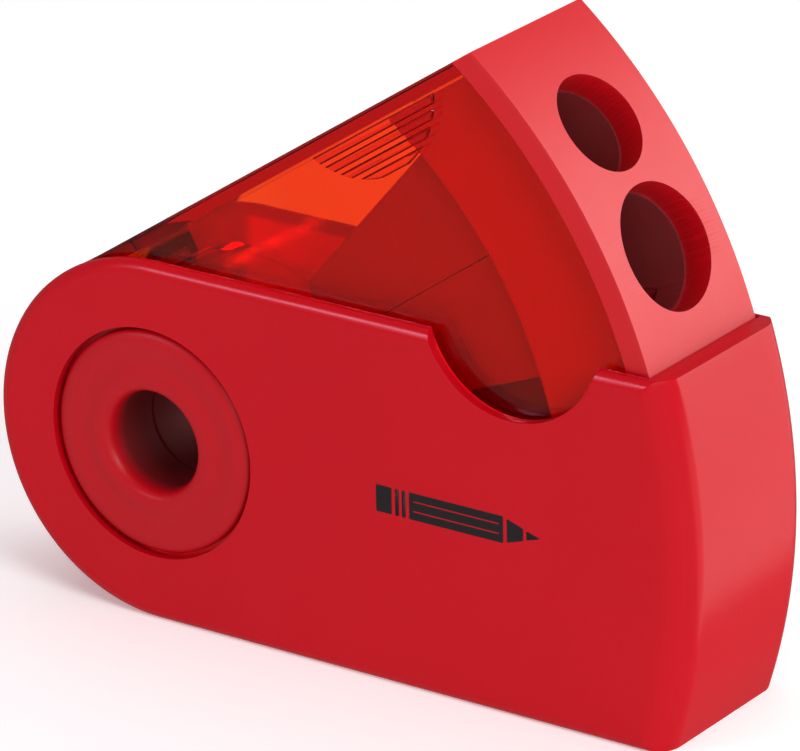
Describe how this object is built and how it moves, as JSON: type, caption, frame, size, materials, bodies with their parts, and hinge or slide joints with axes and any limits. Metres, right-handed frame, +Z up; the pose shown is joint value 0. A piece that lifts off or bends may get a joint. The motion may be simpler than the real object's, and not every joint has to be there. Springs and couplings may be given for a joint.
{
  "type": "pencil sharpener",
  "caption": "Red pocket pencil sharpener for standard and jumbo pencils; a clear-sided shavings box swings out of a flat sleeve on a hollow hub.",
  "frame": {"origin": "centre of the open object's box, on the plane that the sleeve stands on", "axes": "+X along the sleeve towards its wide end, +Y from the front side to the rear side, +Z up, with the sleeve standing on its straight lower edge and the box swung open"},
  "size_m": [0.0676, 0.0184, 0.0548],
  "materials": {
    "red_plastic": "polished moulded red",
    "hub_plastic": "fine-grained moulded red",
    "head_plastic": "fine-grained moulded red",
    "clear_red_plastic": "clear red, polished",
    "dark_red_plastic": "moulded dark red",
    "blade_steel": "ground",
    "screw_steel": "plated"
  },
  "bodies": {
    "sleeve_group": {"sleeve": "red_plastic", "hub_front": "hub_plastic", "hub_rear": "hub_plastic"},
    "swinging_box": {"shavings_container": "clear_red_plastic", "head_cover": "head_plastic", "small_sharpener_body": "dark_red_plastic", "small_blade": "blade_steel", "small_blade_screw": "screw_steel", "large_sharpener_body": "dark_red_plastic", "large_blade": "blade_steel", "large_blade_screw": "screw_steel"}
  },
  "joints": [
    {"name": "box_swing", "type": "hinge", "parent": "sleeve_group", "child": "swinging_box", "pos_m": [-0.0181, 0, 0.0157], "axis": [0, 1, 0], "range_deg": [0, 33.4]}
  ]
}
